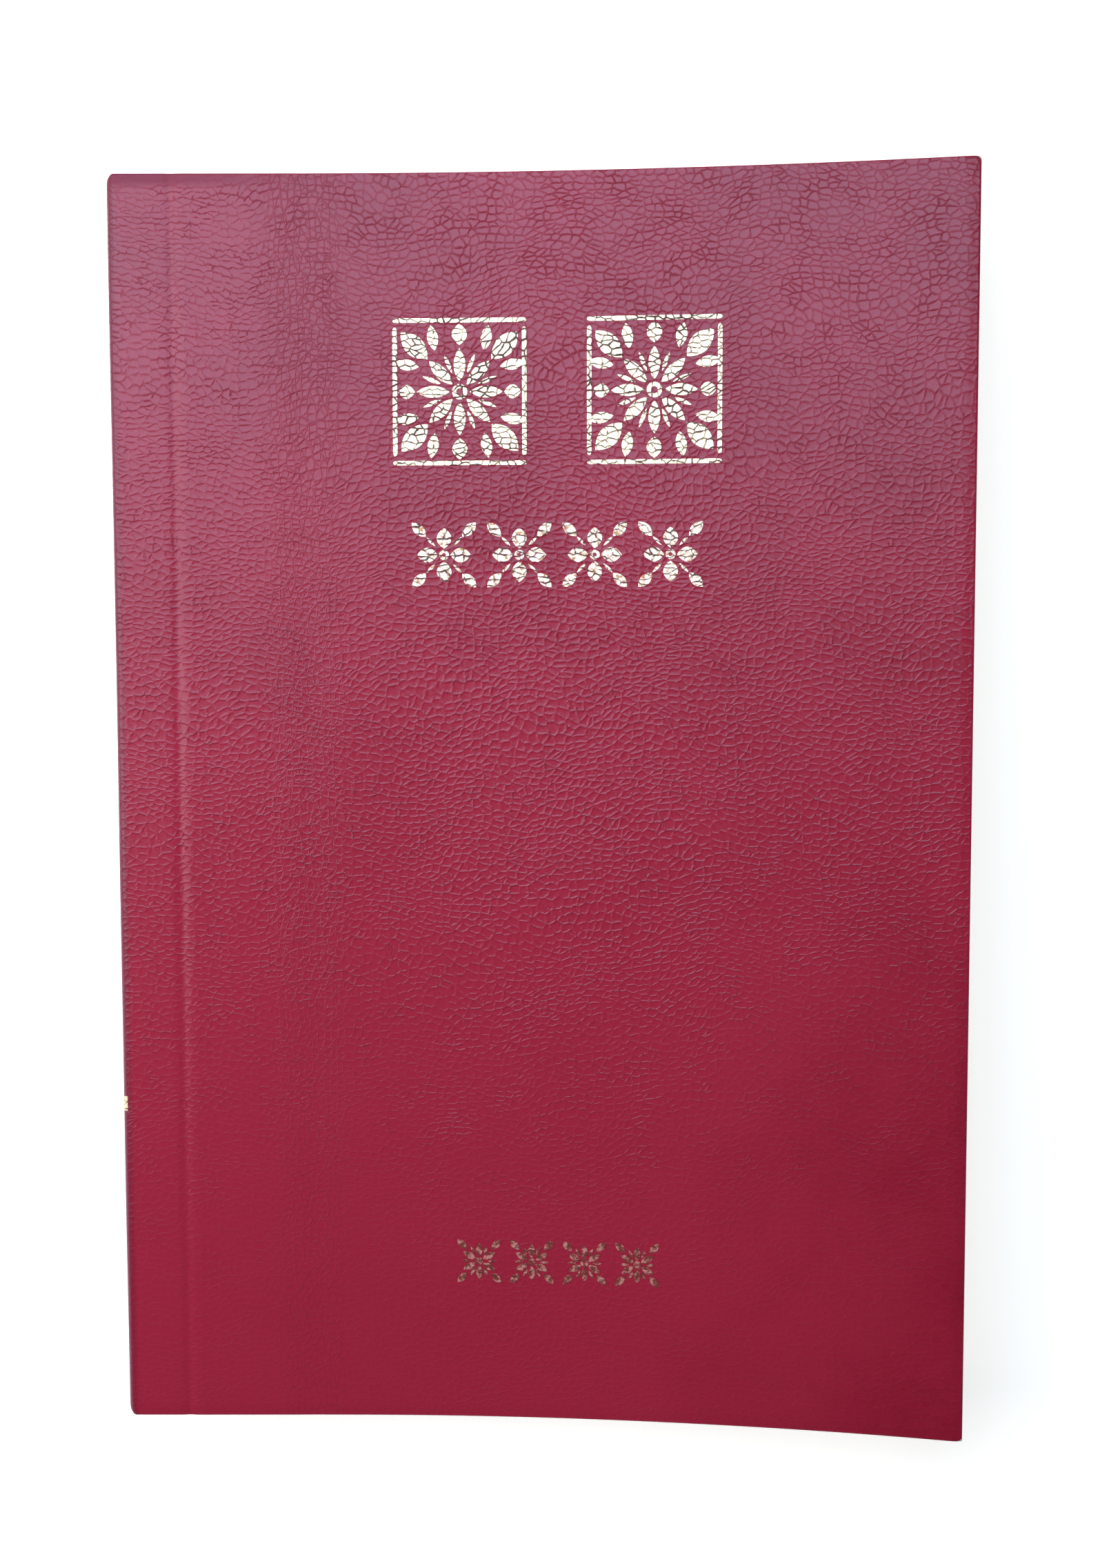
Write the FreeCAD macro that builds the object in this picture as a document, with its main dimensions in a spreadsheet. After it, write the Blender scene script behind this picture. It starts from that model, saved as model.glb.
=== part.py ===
import FreeCAD, Part
import math
import os
import Sketcher

# A limp-bound prayer book lying closed on its back cover. Millimetres, +Z up.
# The spine is at -X, the fore-edge at +X, the head at +Y and the tail at -Y.
# The origin is the middle of the book's footprint, on the surface that it lies on.
#
# The cover is one sheet of leatherette wrapped round the spine. It bends at two score lines beside
# the spine and down the middle of the spine, so each panel between bending lines is a piece.

V = FreeCAD.Vector
doc = FreeCAD.newDocument("prayer_book")

# ---------------------------------------------------------------- driving dimensions

DIMENSIONS = (
    ("page_width", 124.0, "section fold to fore-edge"),
    ("page_height", 184.0, "head to tail"),
    ("cover_thick", 0.5, "leatherette with its lining"),
    ("spine_round", 0.45, "outer radius where the cover turns down at the spine"),
    ("score_inset", 9.3, "outer face of the spine to the score that a cover panel bends at"),
    ("curl_inset", 30.0, "outer face of the spine to where the front cover starts to curl"),
    ("curl_radius", 430.0, "inner face of the curled front cover"),
    ("flyleaf_radius", 1130.0, "lower face of the front flyleaf, which lifts less"),
    ("endpaper_thick", 0.13, "one thickness of endpaper"),
    ("turn_gap", 0.04, "air on each side of a sheet that turns on its own"),
    ("section_thick", 0.84, "a folded section of 16 leaves"),
    ("sections_per_side", 7, "whole sections above and below the centre section"),
    ("centre_part_thick", 0.3, "the front or rear leaves of the centre section"),
    ("leaf_thick", 0.05, "a single leaf"),
    ("leaf_gap", 0.03, "air between the single leaves"),
    ("loose_leaves", 4, "single leaves in the centre section"),
    ("leaf_inset", 0.1, "a single leaf stands off the spine glue by this"),
    ("glue_thick", 0.3, "glue on the section folds"),
    ("thread_radius", 0.11, "sewing thread"),
    ("stitch_count", 6, "stitches from head to tail"),
    ("stitch_pitch", 32.0, "from one stitch to the next"),
    ("foil_thick", 0.03, "stamped foil"),
    ("title_radius", 10.2, "centre to corner of a title ornament"),
    ("title_drop", 31.2, "head to the middle of the title ornaments"),
    ("title_pitch", 28.2, "between the two title ornaments"),
    ("subtitle_radius", 5.0, "centre to corner of a subtitle ornament"),
    ("subtitle_drop", 54.7, "head to the middle of the subtitle ornaments"),
    ("subtitle_pitch", 11.0, "between subtitle ornaments"),
    ("imprint_radius", 3.4, "centre to corner of an imprint ornament"),
    ("imprint_drop", 159.9, "head to the middle of the imprint ornaments"),
    ("imprint_pitch", 7.9, "between imprint ornaments"),
    ("foil_centre_inset", 65.0, "outer face of the spine to the middle of each row of ornaments"),
    ("prism_depth", 60.0, "depth of the cutter that a foil ornament is cut out with"),
    ("spine_band_width", 0.8, "foil band across the spine"),
    ("spine_band_drop", 20.0, "head to the first band, and tail to the last"),
    ("spine_band_pitch", 3.0, "between the two bands of a pair"),
    ("spine_mark_width", 2.2, "foil mark across the spine"),
    ("spine_mark_drop", 136.0, "head to the middle of the mark"),
)

sheet = doc.addObject("Spreadsheet::Sheet", "dims")
for row, (alias, number, meaning) in enumerate(DIMENSIONS, start=1):
    sheet.set("A%d" % row, meaning)
    sheet.set("B%d" % row, str(number))
    sheet.setAlias("B%d" % row, alias)
doc.recompute()


def value(alias):
    """The number that the sheet holds under this alias."""
    return float(sheet.get(alias))


# ---------------------------------------------------------------- places, as sheet expressions

SPINE_X = "(dims.foil_thick - (dims.page_width + dims.glue_thick + dims.cover_thick + dims.foil_thick) / 2)"
GLUE_X = "(%s + dims.cover_thick)" % SPINE_X
FOLD_X = "(%s + dims.glue_thick)" % GLUE_X
SCORE_X = "(%s + dims.score_inset)" % SPINE_X

END_STACK = "(dims.cover_thick + 2 * dims.endpaper_thick + 2 * dims.turn_gap)"
HALF_LEAVES = "(dims.loose_leaves * (dims.leaf_thick + dims.leaf_gap) + dims.leaf_gap) / 2"
HALF_HEIGHT = "(%s + dims.sections_per_side * dims.section_thick + dims.centre_part_thick + %s)" % (
    END_STACK, HALF_LEAVES)
BOOK_TOP = "(2 * %s)" % HALF_HEIGHT
FRONT_SECTIONS_Z = "(%s + %s + dims.centre_part_thick)" % (HALF_HEIGHT, HALF_LEAVES)

PANEL_LENGTH = "(dims.page_width + dims.glue_thick + dims.cover_thick - dims.score_inset)"
PANEL_FLAT = "(dims.curl_inset - dims.score_inset)"
CURL_LENGTH = "(%s - %s)" % (PANEL_LENGTH, PANEL_FLAT)
STRIP_LENGTH = "dims.score_inset"
FOLD_TO_SCORE = "(dims.score_inset - dims.cover_thick - dims.glue_thick)"

nodes = []


def place(piece, label, x, z):
    """Name a finished sub-part and put its local origin at x, z."""
    piece.Label = label
    piece.setExpression("Placement.Base.x", x)
    piece.setExpression("Placement.Base.z", z)
    nodes.append(piece)
    return piece


# ---------------------------------------------------------------- sheets and sections

def new_profile(name):
    """A body and an empty sketch in its X-Z plane."""
    body = doc.addObject("PartDesign::Body", name)
    plane = [f for f in body.Origin.OriginFeatures if f.Role == "XZ_Plane"][0]
    sketch = body.newObject("Sketcher::SketchObject", name + "_profile")
    sketch.AttachmentSupport = [(plane, "")]
    sketch.MapMode = "FlatFace"
    return body, sketch


def pad_profile(body, sketch):
    """Pad the profile from head to tail, the same distance each side of the X-Z plane."""
    pad = body.newObject("PartDesign::Pad", body.Name + "_pad")
    pad.Profile = sketch
    pad.SideType = "Symmetric"
    pad.setExpression("Length", "dims.page_height")
    return pad


def bind(sketch, kind, refs, guess, name, expression):
    """Add a sizing constraint and bind it to the sheet."""
    index = sketch.addConstraint(Sketcher.Constraint(kind, *refs, guess))
    sketch.renameConstraint(index, name)
    sketch.setExpression("Constraints." + name, expression)


def flat_sheet(label, x, z, length, thick):
    """A flat sheet: a rectangle in section, from its local origin towards the fore-edge and up."""
    body, sketch = new_profile(label)
    corners = (V(0, 0, 0), V(10, 0, 0), V(10, 1, 0), V(0, 1, 0))
    for i in range(4):
        sketch.addGeometry(Part.LineSegment(corners[i], corners[(i + 1) % 4]))
    for i in range(4):
        sketch.addConstraint(Sketcher.Constraint("Coincident", i, 2, (i + 1) % 4, 1))
    for i, kind in enumerate(("Horizontal", "Vertical", "Horizontal", "Vertical")):
        sketch.addConstraint(Sketcher.Constraint(kind, i))
    sketch.addConstraint(Sketcher.Constraint("Coincident", 0, 1, -1, 1))
    bind(sketch, "DistanceX", (0, 1, 0, 2), 10, "length", length)
    bind(sketch, "DistanceY", (1, 1, 1, 2), 1, "thickness", thick)
    pad_profile(body, sketch)
    return place(body, label, x, z)


def folded_sheets(label, z, thick):
    """Leaves folded together: a rectangle in section with a round fold at the spine."""
    body, sketch = new_profile(label)
    sketch.addGeometry(Part.LineSegment(V(0.5, 0, 0), V(10, 0, 0)))
    sketch.addGeometry(Part.LineSegment(V(10, 0, 0), V(10, 1, 0)))
    sketch.addGeometry(Part.LineSegment(V(10, 1, 0), V(0.5, 1, 0)))
    fold = Part.Circle(V(0.5, 0.5, 0), V(0, 0, 1), 0.5)
    sketch.addGeometry(Part.ArcOfCircle(fold, math.pi / 2, 3 * math.pi / 2))
    for kind, *refs in (
        ("Coincident", 0, 2, 1, 1),
        ("Coincident", 1, 2, 2, 1),
        ("Tangent", 2, 2, 3, 1),
        ("Tangent", 3, 2, 0, 1),
        ("Horizontal", 0),
        ("Vertical", 1),
        ("Horizontal", 2),
        ("PointOnObject", 0, 1, -1),
    ):
        sketch.addConstraint(Sketcher.Constraint(kind, *refs))
    bind(sketch, "DistanceX", (-1, 1, 3, 3), 0.5, "fold_radius", "%s / 2" % thick)
    bind(sketch, "DistanceX", (-1, 1, 0, 2), 10, "length", "dims.page_width")
    bind(sketch, "DistanceY", (1, 1, 1, 2), 1, "thickness", thick)
    pad_profile(body, sketch)
    return place(body, label, FOLD_X, z)


def curled_sheet(name, z, thick, lower_radius, curl_angle):
    """A sheet that is flat from the score, then curls up at an even radius to the fore-edge."""
    body, sketch = new_profile(name)
    flat = value("curl_inset") - value("score_inset")
    low = 400.0
    high = low - 0.5
    start = -math.pi / 2
    end = start + 0.22
    centre = V(flat, low, 0)

    def on_arc(radius):
        return centre + V(radius * math.cos(end), radius * math.sin(end), 0)

    sketch.addGeometry(Part.LineSegment(V(0, 0, 0), V(flat, 0, 0)))
    sketch.addGeometry(Part.ArcOfCircle(Part.Circle(centre, V(0, 0, 1), low), start, end))
    sketch.addGeometry(Part.LineSegment(on_arc(low), on_arc(high)))
    sketch.addGeometry(Part.ArcOfCircle(Part.Circle(centre, V(0, 0, 1), high), start, end))
    sketch.addGeometry(Part.LineSegment(V(flat, low - high, 0), V(0, low - high, 0)))
    sketch.addGeometry(Part.LineSegment(V(0, low - high, 0), V(0, 0, 0)))
    for kind, *refs in (
        ("Tangent", 0, 2, 1, 1),
        ("Coincident", 1, 2, 2, 1),
        ("Coincident", 2, 2, 3, 2),
        ("Tangent", 3, 1, 4, 1),
        ("Coincident", 4, 2, 5, 1),
        ("Coincident", 5, 2, 0, 1),
        ("Coincident", 1, 3, 3, 3),
        ("PointOnObject", 1, 3, 2),
        ("Horizontal", 0),
        ("Horizontal", 4),
        ("Vertical", 5),
        ("Coincident", 0, 1, -1, 1),
    ):
        sketch.addConstraint(Sketcher.Constraint(kind, *refs))
    reach = "%s + (%s) * sin(%s * 1rad)" % (PANEL_FLAT, lower_radius, curl_angle)
    bind(sketch, "DistanceX", (0, 1, 0, 2), flat, "flat_length", PANEL_FLAT)
    bind(sketch, "DistanceY", (5, 2, 5, 1), low - high, "thickness", thick)
    bind(sketch, "Radius", (1,), low, "lower_radius", lower_radius)
    bind(sketch, "DistanceX", (-1, 1, 1, 2), on_arc(low).x, "reach", reach)
    pad_profile(body, sketch)
    body.setExpression("Placement.Base.x", SCORE_X)
    body.setExpression("Placement.Base.z", z)
    return body


# ---------------------------------------------------------------- the wrap cover

def joint_strip(label, z, outer_side):
    """The cover between the spine and the score, rounded where it turns down the spine."""
    strip = doc.addObject("Part::Box", label + "_strip")
    strip.setExpression("Length", STRIP_LENGTH)
    strip.setExpression("Width", "dims.page_height")
    strip.setExpression("Height", "dims.cover_thick")
    strip.setExpression("Placement.Base.y", "-dims.page_height / 2")
    doc.recompute()
    rounded = doc.addObject("Part::Fillet", label)
    rounded.Base = strip
    outer_z = value("cover_thick") if outer_side == "top" else 0.0
    for number, edge in enumerate(strip.Shape.Edges, start=1):
        box = edge.BoundBox
        if box.YLength > 1 and abs(box.XMax) < 1e-6 and abs(box.ZMax - outer_z) < 1e-6:
            radius = value("spine_round")
            rounded.Edges = [(number, radius, radius)]
    return place(rounded, label, SPINE_X, z)


def spine_half(label, z):
    """Half of the spine covering, between a joint strip and the middle of the spine."""
    half = doc.addObject("Part::Box", label)
    half.setExpression("Length", "dims.cover_thick")
    half.setExpression("Width", "dims.page_height")
    half.setExpression("Height", "%s - dims.cover_thick" % HALF_HEIGHT)
    half.setExpression("Placement.Base.y", "-dims.page_height / 2")
    return place(half, label, SPINE_X, z)


CURL_ANGLE = "(%s / dims.curl_radius)" % CURL_LENGTH
FRONT_COVER_Z = "(%s - dims.cover_thick)" % BOOK_TOP

flat_sheet("back_cover", SCORE_X, "0", PANEL_LENGTH, "dims.cover_thick")
joint_strip("back_joint_strip", "0", "bottom")
spine_half("spine_cover_rear", "dims.cover_thick")
spine_half("spine_cover_front", HALF_HEIGHT)
joint_strip("front_joint_strip", FRONT_COVER_Z, "top")
front_cover = curled_sheet("front_cover", FRONT_COVER_Z, "dims.cover_thick", "dims.curl_radius", CURL_ANGLE)
nodes.append(front_cover)

# ---------------------------------------------------------------- endpapers

BACK_FLYLEAF_Z = "(dims.cover_thick + dims.endpaper_thick + dims.turn_gap)"
FRONT_FLYLEAF_Z = "(%s - %s + dims.turn_gap)" % (BOOK_TOP, END_STACK)
FLYLEAF_ANGLE = "(%s / dims.flyleaf_radius)" % CURL_LENGTH
FOLD_THICK = "(%s - dims.cover_thick)" % END_STACK

flat_sheet("back_pastedown", SCORE_X, "dims.cover_thick", PANEL_LENGTH, "dims.endpaper_thick")
flat_sheet("back_flyleaf", SCORE_X, BACK_FLYLEAF_Z, PANEL_LENGTH, "dims.endpaper_thick")
flat_sheet("back_endsheet_fold", FOLD_X, "dims.cover_thick", FOLD_TO_SCORE, FOLD_THICK)
flat_sheet("front_endsheet_fold", FOLD_X, "%s - %s" % (BOOK_TOP, END_STACK), FOLD_TO_SCORE, FOLD_THICK)
nodes.append(curled_sheet("front_flyleaf", FRONT_FLYLEAF_Z, "dims.endpaper_thick",
                          "dims.flyleaf_radius", FLYLEAF_ANGLE))
nodes.append(curled_sheet("front_pastedown", "%s - dims.endpaper_thick" % FRONT_COVER_Z,
                          "dims.endpaper_thick", "dims.curl_radius + dims.endpaper_thick", CURL_ANGLE))

# ---------------------------------------------------------------- text block

PER_SIDE = int(value("sections_per_side"))
CENTRE = PER_SIDE + 1

for above in range(PER_SIDE):
    number = PER_SIDE - above
    folded_sheets("section_%02d" % number, "%s + %d * dims.section_thick" % (FRONT_SECTIONS_Z, above),
                  "dims.section_thick")
for above in range(PER_SIDE):
    number = 2 * PER_SIDE + 1 - above
    folded_sheets("section_%02d" % number, "%s + %d * dims.section_thick" % (END_STACK, above),
                  "dims.section_thick")
folded_sheets("section_%02d_front" % CENTRE, "%s + %s" % (HALF_HEIGHT, HALF_LEAVES),
              "dims.centre_part_thick")
folded_sheets("section_%02d_rear" % CENTRE, "%s - %s - dims.centre_part_thick" % (HALF_HEIGHT, HALF_LEAVES),
              "dims.centre_part_thick")

for leaf in range(1, int(value("loose_leaves")) + 1):
    depth = "%d * (dims.leaf_thick + dims.leaf_gap)" % leaf
    flat_sheet("section_%02d_leaf_%d" % (CENTRE, leaf), "%s + dims.leaf_inset" % FOLD_X,
               "%s + %s - %s" % (HALF_HEIGHT, HALF_LEAVES, depth),
               "dims.page_width - dims.leaf_inset", "dims.leaf_thick")

# ---------------------------------------------------------------- sewing and glue

BLOCK_HALF = "(%s - %s)" % (HALF_HEIGHT, END_STACK)


def sewing_thread(label, z):
    """The runs of thread that link the section folds, one solid at each stitch."""
    stitches = []
    for i in range(int(value("stitch_count"))):
        stitch = doc.addObject("Part::Cylinder", "%s_%d" % (label, i + 1))
        stitch.setExpression("Radius", "dims.thread_radius")
        stitch.setExpression("Height", BLOCK_HALF)
        stitch.setExpression("Placement.Base.x", "dims.glue_thick / 2")
        stitch.setExpression("Placement.Base.y",
                             "(%d - (dims.stitch_count - 1) / 2) * dims.stitch_pitch" % i)
        stitches.append(stitch)
    thread = doc.addObject("Part::Compound", label)
    thread.Links = stitches
    return place(thread, label, GLUE_X, z)


def spine_glue(label, z, thread):
    """The glue film on the folds, with the thread embedded in it."""
    film = doc.addObject("Part::Box", label + "_film")
    film.setExpression("Length", "dims.glue_thick")
    film.setExpression("Width", "dims.page_height")
    film.setExpression("Height", BLOCK_HALF)
    film.setExpression("Placement.Base.x", GLUE_X)
    film.setExpression("Placement.Base.y", "-dims.page_height / 2")
    film.setExpression("Placement.Base.z", z)
    glue = doc.addObject("Part::Cut", label)
    glue.Base = film
    glue.Tool = thread
    glue.Label = label
    nodes.append(glue)
    return glue


thread_rear = sewing_thread("sewing_thread_rear", END_STACK)
thread_front = sewing_thread("sewing_thread_front", HALF_HEIGHT)
spine_glue("spine_glue_rear", END_STACK, thread_rear)
spine_glue("spine_glue_front", HALF_HEIGHT, thread_front)

# ---------------------------------------------------------------- foil

foil_layer = curled_sheet("foil_layer", BOOK_TOP, "dims.foil_thick",
                          "dims.curl_radius - dims.cover_thick", CURL_ANGLE)


def cover_foil(label, count):
    """A centred row of lozenges of foil on the curled cover."""
    row = label.split("_")[0]
    cutters = []
    for i in range(count):
        cutter = doc.addObject("Part::Prism", "%s_cutter_%d" % (row, i + 1))
        cutter.Polygon = 4
        cutter.setExpression("Circumradius", "dims.%s_radius" % row)
        cutter.setExpression("Height", "dims.prism_depth")
        cutter.setExpression("Placement.Base.x", "%s + dims.foil_centre_inset + (%s) * dims.%s_pitch"
                             % (SPINE_X, i - (count - 1) / 2, row))
        cutter.setExpression("Placement.Base.y", "dims.page_height / 2 - dims.%s_drop" % row)
        cutters.append(cutter)
    lozenges = doc.addObject("Part::Compound", row + "_cutters")
    lozenges.Links = cutters
    foil = doc.addObject("Part::Common", label)
    foil.Base = foil_layer
    foil.Tool = lozenges
    foil.Label = label
    nodes.append(foil)
    return foil


def spine_foil(label, z):
    """Foil bands, and one wider mark, across half of the spine."""
    last_band = "dims.page_height - dims.spine_band_drop"
    stamps = (
        ("dims.spine_band_drop", "dims.spine_band_width"),
        ("dims.spine_band_drop + dims.spine_band_pitch", "dims.spine_band_width"),
        ("dims.spine_mark_drop", "dims.spine_mark_width"),
        (last_band + " - dims.spine_band_pitch", "dims.spine_band_width"),
        (last_band, "dims.spine_band_width"),
    )
    bars = []
    for i, (drop, width) in enumerate(stamps, start=1):
        bar = doc.addObject("Part::Box", "%s_%d" % (label, i))
        bar.setExpression("Length", "dims.foil_thick")
        bar.setExpression("Width", width)
        bar.setExpression("Height", "%s - dims.cover_thick" % HALF_HEIGHT)
        bar.setExpression("Placement.Base.y", "dims.page_height / 2 - (%s) - %s / 2" % (drop, width))
        bars.append(bar)
    foil = doc.addObject("Part::Compound", label)
    foil.Links = bars
    return place(foil, label, "%s - dims.foil_thick" % SPINE_X, z)


cover_foil("title_foil", 2)
cover_foil("subtitle_foil", 4)
cover_foil("imprint_foil", 4)
spine_foil("spine_foil_rear", "dims.cover_thick")
spine_foil("spine_foil_front", HALF_HEIGHT)

# ---------------------------------------------------------------- check and write

doc.recompute()
for item in doc.Objects:
    if "Invalid" in item.State or "Error" in item.State:
        raise RuntimeError("%s failed: %s" % (item.Label, item.State))
for piece in nodes:
    if piece.Shape.isNull() or not piece.Shape.isValid():
        raise RuntimeError("%s has no valid shape" % piece.Label)

os.makedirs("parts", exist_ok=True)
for piece in nodes:
    piece.Shape.exportStep(os.path.join("parts", piece.Label + ".step"))
print("%d sub-parts written" % len(nodes))
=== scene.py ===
import math
import random

import bpy
import numpy as np
from mathutils import Euler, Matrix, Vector, noise


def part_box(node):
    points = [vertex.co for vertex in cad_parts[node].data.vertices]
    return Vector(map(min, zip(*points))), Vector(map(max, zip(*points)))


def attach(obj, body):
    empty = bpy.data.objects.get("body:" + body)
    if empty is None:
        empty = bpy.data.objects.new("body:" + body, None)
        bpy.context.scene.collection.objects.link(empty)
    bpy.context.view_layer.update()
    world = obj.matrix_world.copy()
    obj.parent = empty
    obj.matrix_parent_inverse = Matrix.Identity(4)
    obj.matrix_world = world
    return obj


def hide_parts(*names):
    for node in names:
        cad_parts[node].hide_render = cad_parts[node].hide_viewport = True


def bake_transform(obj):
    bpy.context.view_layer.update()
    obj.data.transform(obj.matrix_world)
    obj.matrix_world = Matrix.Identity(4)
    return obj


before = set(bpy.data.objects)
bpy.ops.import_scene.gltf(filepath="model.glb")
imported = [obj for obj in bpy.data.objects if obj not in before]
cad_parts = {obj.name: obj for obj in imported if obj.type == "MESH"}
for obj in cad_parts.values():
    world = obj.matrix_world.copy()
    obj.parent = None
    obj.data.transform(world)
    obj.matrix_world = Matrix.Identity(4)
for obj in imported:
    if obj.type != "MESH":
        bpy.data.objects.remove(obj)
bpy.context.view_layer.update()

random.seed(7)

# The book lies on its back cover: spine at -X, head at +Y. Lengths are in metres; MM turns millimetres
# into them. The UV map of every sheet is in millimetres along and across the sheet, so that
# grain and print stay on it when it bends.
MM = 0.001

# ---------------------------------------------------------------- places, from the frame

SPINE_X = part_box("spine_cover_rear")[0].x
SCORE_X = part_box("back_cover")[0].x
FORE_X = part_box("back_cover")[1].x
FOLD_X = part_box("section_01")[0].x
TAIL_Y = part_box("back_cover")[0].y
HEAD_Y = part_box("back_cover")[1].y
COVER_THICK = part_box("back_cover")[1].z
BOOK_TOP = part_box("front_joint_strip")[1].z
MID_Z = BOOK_TOP / 2
HALF_HEIGHT_Y = (HEAD_Y - TAIL_Y) / 2

CURL_X = SPINE_X + 30 * MM
CURL_RADIUS = 430 * MM - COVER_THICK
CURL_ANGLE = (FORE_X - CURL_X) / (CURL_RADIUS + COVER_THICK)
SPINE_ROUND = 1.1 * MM

# Distances along the wrap sheet, from the middle of the spine.
SPINE_FLAT = MID_Z - SPINE_ROUND
ROUND_LENGTH = SPINE_ROUND * math.pi / 2
STRIP_START = SPINE_FLAT + ROUND_LENGTH
SCORE_AT = STRIP_START + (SCORE_X - SPINE_X - SPINE_ROUND)
CURL_AT = STRIP_START + (CURL_X - SPINE_X - SPINE_ROUND)
BACK_END = STRIP_START + (FORE_X - SPINE_X - SPINE_ROUND)
FRONT_END = CURL_AT + CURL_RADIUS * CURL_ANGLE
SPINE_PIECE_END = SPINE_FLAT - 0.3 * MM
SPINE_FOLD = 1.6 * MM


# ---------------------------------------------------------------- shader helper

class Shader:
    """A material's node tree, with short calls for the nodes used here."""

    def __init__(self, name):
        self.material = bpy.data.materials.new(name)
        self.material.use_nodes = True
        self.tree = self.material.node_tree
        self.surface = self.tree.nodes["Principled BSDF"]

    def node(self, kind, **settings):
        made = self.tree.nodes.new(kind)
        for key, setting in settings.items():
            setattr(made, key, setting)
        return made

    def feed(self, socket, source):
        if isinstance(source, bpy.types.NodeSocket):
            self.tree.links.new(source, socket)
        else:
            socket.default_value = source

    def uv(self, name):
        return self.node("ShaderNodeUVMap", uv_map=name).outputs["UV"]

    def math(self, operation, a, b=0.0, c=0.0):
        made = self.node("ShaderNodeMath", operation=operation)
        for socket, source in zip(made.inputs, (a, b, c)):
            self.feed(socket, source)
        return made.outputs[0]

    def vector(self, operation, a, b, c=(0, 0, 0)):
        made = self.node("ShaderNodeVectorMath", operation=operation)
        for socket, source in zip(made.inputs, (a, b, c)):
            self.feed(socket, source)
        return made.outputs[0]

    def noise(self, where, scale, detail=2.0, roughness=0.5, output="Fac"):
        made = self.node("ShaderNodeTexNoise", noise_dimensions="3D")
        self.feed(made.inputs["Vector"], where)
        made.inputs["Scale"].default_value = scale
        made.inputs["Detail"].default_value = detail
        made.inputs["Roughness"].default_value = roughness
        return made.outputs[output]

    def cell_edge(self, where, randomness=1.0):
        """Distance to the nearest border between cells about one unit across."""
        made = self.node("ShaderNodeTexVoronoi", voronoi_dimensions="2D", feature="DISTANCE_TO_EDGE")
        self.feed(made.inputs["Vector"], where)
        made.inputs["Scale"].default_value = 1.0
        made.inputs["Randomness"].default_value = randomness
        return made.outputs["Distance"]

    def cell_tone(self, where, randomness=1.0):
        """A value from 0 to 1 that is the same all over a cell."""
        made = self.node("ShaderNodeTexVoronoi", voronoi_dimensions="2D", feature="F1")
        self.feed(made.inputs["Vector"], where)
        made.inputs["Scale"].default_value = 1.0
        made.inputs["Randomness"].default_value = randomness
        return self.node_output("ShaderNodeSeparateColor", made.outputs["Color"], 0)

    def cell_centre(self, where, randomness=1.0):
        """Where the middle of the cell around a point is."""
        made = self.node("ShaderNodeTexVoronoi", voronoi_dimensions="2D", feature="F1")
        self.feed(made.inputs["Vector"], where)
        made.inputs["Scale"].default_value = 1.0
        made.inputs["Randomness"].default_value = randomness
        return made.outputs["Position"]

    def node_output(self, kind, source, index):
        made = self.node(kind)
        self.feed(made.inputs[0], source)
        return made.outputs[index]

    def step(self, source, low, high, to_low=0.0, to_high=1.0):
        """A smooth step from to_low to to_high as source goes from low to high."""
        made = self.node("ShaderNodeMapRange", interpolation_type="SMOOTHSTEP")
        for name, setting in (("Value", source), ("From Min", low), ("From Max", high),
                              ("To Min", to_low), ("To Max", to_high)):
            self.feed(made.inputs[name], setting)
        return made.outputs[0]

    def mix(self, share, a, b):
        """Colour a where share is 0 and colour b where it is 1."""
        made = self.node("ShaderNodeMix", data_type="RGBA")
        self.feed(made.inputs[0], share)
        self.feed(made.inputs[6], a)
        self.feed(made.inputs[7], b)
        return made.outputs[2]

    def bump(self, height, distance, strength=1.0):
        made = self.node("ShaderNodeBump")
        made.inputs["Strength"].default_value = strength
        made.inputs["Distance"].default_value = distance
        self.feed(made.inputs["Height"], height)
        return made.outputs["Normal"]

    def set(self, **inputs):
        for name, source in inputs.items():
            self.feed(self.surface.inputs[name.replace("_", " ")], source)


# ---------------------------------------------------------------- leatherette and foil

GRAIN_LENGTH = 1.38
GRAIN_WIDTH = 0.98
GRAIN_DEPTH = 0.048 * MM
CRIMSON = (0.328, 0.015, 0.041, 1)
# CRIMSON_DEEP is the dark end of both the random tone and the painted shade towards the fore-edge and head.
CRIMSON_DEEP = (0.215, 0.004, 0.019, 1)
# The groove colour is painted shade in the recesses of the grain.
CRIMSON_GROOVE_SHADE = (0.140, 0.002, 0.012, 1)
CRIMSON_SHADE = (0.130, 0.005, 0.026, 1)
CRIMSON_WORN = (0.350, 0.014, 0.048, 1)
GOLD_PALE = (0.90, 0.76, 0.55, 1)
GOLD_DARK = (0.42, 0.22, 0.09, 1)
GOLD_ROSE = (0.97, 0.78, 0.68, 1)
GOLD_RED = (0.72, 0.30, 0.27, 1)
GOLD_BROWN = (0.25, 0.048, 0.042, 1)
FOIL_CRACK_SHADE = (0.070, 0.014, 0.016, 1)


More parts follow.
